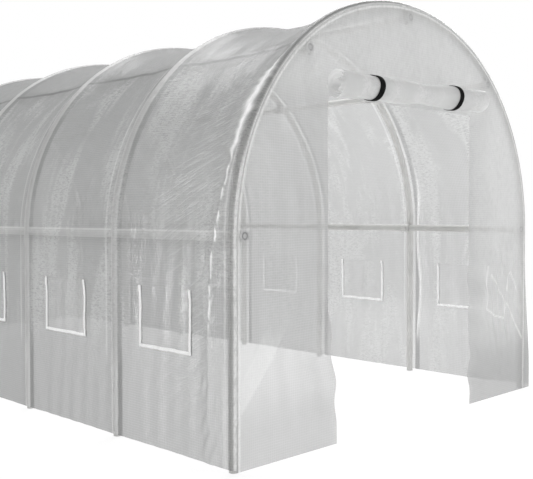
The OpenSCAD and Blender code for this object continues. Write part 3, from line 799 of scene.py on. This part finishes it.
# painted shade low on the side panels beside the doorway
low_shade = np.where(x > 0, 0.36, 0.28) * step(0.45, 0.6, np.abs(x)) * (1 - step(0.12, 0.42, z))
for label, values in (("glare", panel_highlight), ("shade", low_shade), ("fan", 0 * x)):
    mark(panel, label, values.ravel()[panel_used])
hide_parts("front_panel_left", "front_panel_right", "front_panel_head")

x, z, c = end_grid(30, 24, 120, LIFT)
held = step(0.0, 0.35, 2 - np.abs(c))
points = np.stack([x, BACK_Y + 0.004 * held * waves(x, z, 31, 8, 0.12, 0.34, 0.0, 0.4), z], -1)
back_panel = mesh_piece("back_panel", points, np.stack([z, x], -1), BACK_FILM, flip=True)
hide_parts("back_end_panel")

door_lo, door_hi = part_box("back_door_flap")
x, z = np.meshgrid(np.linspace(door_lo[0], door_hi[0], 90), np.linspace(door_lo[2], door_hi[2], 90),
                   indexing="xy")
drop = step(0, 1.5, door_hi[2] - z)
points = np.stack([x, BACK_Y + 0.008 + 0.006 * drop * (1 + waves(x, z, 32, 7, 0.12, 0.40, 0.0, 0.3)), z], -1)
back_door = mesh_piece("back_door", points, np.stack([z, x], -1), BACK_FILM, flip=True)
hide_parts("back_door_flap")


# ---------------------------------------------------------------- rolled-up front door
STRAPS = (-0.368, 0.262)
TURNS = 6.0
TILT = 0.026
ROLL_UP = 0.008
ROLL_END = 0.52
SQUASH = 0.94  # the roll's height against its depth
STRAP_W = 0.034
CORE_R = 0.014
ROLL_UV, TAIL_UV = 1.25, 0.1  # lengths of the roll and its tail in the material's UV
ROLL_STEPS, ROLL_COLUMNS, TAIL_STEPS = 250, 180, 13


def roll_radius(x, a):
    """Radius of the roll's film at place x and turn angle a, from the core out: it grows evenly with the angle,
    swells and dips in slow waves, and is slimmer between the two straps."""
    share = a / (2 * math.pi * TURNS)
    base = CORE_R + (ROLL_R - 0.008) * share
    lumps = 0.05 * waves(x, 0.06 * a, 51, 8, 0.12, 0.50, 0.4, 0.9)
    waist = 0.10 * np.exp(-((x + 0.01) / 0.20) ** 2)
    return base * (1 + lumps * (0.4 + 0.6 * share) - waist)


def roll_point(x, a):
    """Point of the rolled film: a spiral about the roll's axis, which rises a little to the right."""
    r = roll_radius(x, a)
    end = a - 2 * math.pi * TURNS
    y = ROLL_Y + r * np.cos(end)
    z = ROLL_Z + ROLL_UP + TILT * x + SQUASH * r * np.sin(end)
    return np.stack([x, y, z], -1)


a, x = np.meshgrid(np.linspace(0.0, 2 * math.pi * TURNS, ROLL_STEPS),
                   np.linspace(-ROLL_HALF, ROLL_END, ROLL_COLUMNS), indexing="ij")
x = x * (1 + 0.010 * np.cos(0.7 * a + 1.0) + 0.006 * np.cos(2.3 * a))
points = roll_point(x, a)
# the last part of the film runs from the back of the roll to the seam along the head panel's lower edge
t = np.broadcast_to(np.linspace(0, 1, TAIL_STEPS + 1)[1:, None], (TAIL_STEPS, ROLL_COLUMNS))
start = points[-1][None]
seam = np.stack([x[-1], 0 * x[-1] + PANEL_Y + 0.030, 0 * x[-1] + HEAD_EDGE + 0.012], -1)[None]
tail = start + (seam - start) * t[..., None]
points = np.concatenate([points, tail])
turned = np.broadcast_to(np.linspace(0, ROLL_UV, ROLL_STEPS)[:, None], x.shape)
turned = np.concatenate([turned, ROLL_UV + TAIL_UV * t])
mid_x = np.abs(x[-1][1:] + x[-1][:-1]) / 2
roll_keep = (np.arange(len(points) - 1)[:, None] < ROLL_STEPS - 1) | (mid_x[None, :] < DOOR_HALF - 0.01)
roll_uv = np.stack([turned, np.broadcast_to(x[-1], turned.shape)], -1)
roll = mesh_piece("front_door", points, roll_uv, ROLL_FILM, keep=roll_keep)
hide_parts("front_door_roll")

bands = []
for at in STRAPS:
    a, w = np.meshgrid(np.linspace(-0.5 * math.pi, 1.62 * math.pi, 70), np.linspace(-0.5, 0.5, 7),
                       indexing="ij")
    xs = at + STRAP_W * w + 0.002 * np.sin(3 * a)
    r = np.maximum(roll_radius(xs, 2 * math.pi * (TURNS - 1) + a % (2 * math.pi)) + 0.0025, ROLL_R - 0.001)
    zs = ROLL_Z + ROLL_UP + TILT * xs + SQUASH * r * np.sin(a)
    bands.append((np.stack([xs, ROLL_Y + r * np.cos(a), zs], -1), np.stack([a * ROLL_R, w * STRAP_W], -1)))
verts, quads, uv = joined(bands)
straps = build("door_straps", verts, quads, uv, WEBBING)
thick(straps, STRAP_THICK)
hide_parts("front_door_straps")


# ---------------------------------------------------------------- tubes, clamps and caps keep their solids
for name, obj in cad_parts.items():
    if "arch" in name or "legs" in name or name.endswith("purlin"):
        paint = TUBE
    elif name.endswith("rail"):
        paint = SHADED_RAIL
    elif "clamps" in name:
        paint = CLAMP
    elif "caps" in name:
        paint = CAP
    else:
        continue
    obj.data.materials.clear()
    obj.data.materials.append(paint)


# ---------------------------------------------------------------- floor, light and camera
def floor_material():
    """Pale floor: takes the object's shadow faintly, and goes to plain white away from it."""
    mat, tree, out = new_material("floor")
    path = put(tree, "ShaderNodeLightPath")
    bent = calc(tree, "MAXIMUM", path.outputs["Is Glossy Ray"], path.outputs["Is Transmission Ray"])
    seen = calc(tree, "MAXIMUM", path.outputs["Is Camera Ray"], bent)
    where = put(tree, "ShaderNodeTexCoord").outputs["Object"]
    length = put(tree, "ShaderNodeVectorMath", [(0, where)], operation="LENGTH").outputs["Value"]
    far = ramp(tree, length, 3.0, 6.0, 0.80, 1.0)
    plain = put(tree, "ShaderNodeBsdfDiffuse", [("Color", (0.90, 0.90, 0.90, 1))])
    white = put(tree, "ShaderNodeEmission", [("Color", (1, 1, 1, 1)), ("Strength", 1.0)])
    mix = put(tree, "ShaderNodeMixShader",
              [(0, calc(tree, "MULTIPLY", seen, far)), (1, plain.outputs[0]), (2, white.outputs[0])])
    tree.links.new(mix.outputs[0], out.inputs["Surface"])
    return mat


FLOOR_ROWS, FLOOR_HALF, FLOOR_Z = 9, 40, -0.0005
span = np.linspace(-FLOOR_HALF, FLOOR_HALF, FLOOR_ROWS)
fx, fy = np.meshgrid(span, span, indexing="xy")
floor_mesh = bpy.data.meshes.new("floor")
floor_mesh.from_pydata(np.stack([fx, fy, 0 * fx + FLOOR_Z], -1).reshape(-1, 3).tolist(), [],
                       grid_quads(FLOOR_ROWS, FLOOR_ROWS).reshape(-1, 4).tolist())
floor_mesh.materials.append(floor_material())
floor = bpy.data.objects.new("floor", floor_mesh)
bpy.context.scene.collection.objects.link(floor)

scene = bpy.context.scene
world = bpy.data.worlds.new("studio")
world.use_nodes = True
scene.world = world
tree = world.node_tree
tree.nodes.clear()
path = put(tree, "ShaderNodeLightPath")
seen = calc(tree, "MAXIMUM", path.outputs["Is Camera Ray"], path.outputs["Is Transmission Ray"])
soft = put(tree, "ShaderNodeBackground", [("Color", (1, 1, 1, 1)), ("Strength", 0.70)])
white = put(tree, "ShaderNodeBackground", [("Color", (1, 1, 1, 1)), ("Strength", 1.0)])
mix = put(tree, "ShaderNodeMixShader", [(0, seen), (1, soft.outputs[0]), (2, white.outputs[0])])
tree.links.new(mix.outputs[0], put(tree, "ShaderNodeOutputWorld").inputs["Surface"])


def lamp(name, place, target, size, power, tall=None):
    """Area lamp of that width and height at place, turned to face target."""
    data = bpy.data.lights.new(name, "AREA")
    data.shape = "RECTANGLE"
    data.size = size
    data.size_y = tall or size
    data.energy = power
    obj = bpy.data.objects.new(name, data)
    obj.location = place
    way = np.asarray(target, float) - np.asarray(place, float)
    flat = math.hypot(way[0], way[1])
    obj.rotation_euler = (math.atan2(flat, -way[2]), 0, math.atan2(way[1], way[0]) - math.pi / 2)
    bpy.context.scene.collection.objects.link(obj)
    return obj


lamp("key", (3.5, -8.0, 5.0), (0, -1.5, 0.9), 4.0, 170)
lamp("side", (7.0, 2.0, 4.5), (0, 0, 1.0), 4.0, 390)
lamp("top", (0.5, 1.2, 6.5), (0.0, 1.0, 0.0), 5.0, 370)
glint = lamp("glint", (-4.5, 1.0, 0.9), (-1.15, -2.15, 0.8), 0.35, 90, 1.7)
glint.visible_diffuse = False

# fitted to the photograph: place from the front hoop, downward tilt and turn from +Y in radians, lens in mm
CAM_PLACE, CAM_DOWN, CAM_TURN, CAM_LENS = (-3.3230, FRONT - 2.3669, 0.9979), 0.0291, -0.7868, 56.585
cam_data = bpy.data.cameras.new("camera")
cam_data.sensor_fit = "HORIZONTAL"
cam_data.sensor_width = 36.0
cam_data.lens = CAM_LENS
camera = bpy.data.objects.new("camera", cam_data)
camera.location = CAM_PLACE
camera.rotation_euler = (math.pi / 2 - CAM_DOWN, 0, CAM_TURN)
scene.collection.objects.link(camera)
scene.camera = camera
scene.view_settings.view_transform = "Standard"
scene.cycles.transparent_max_bounces = 48
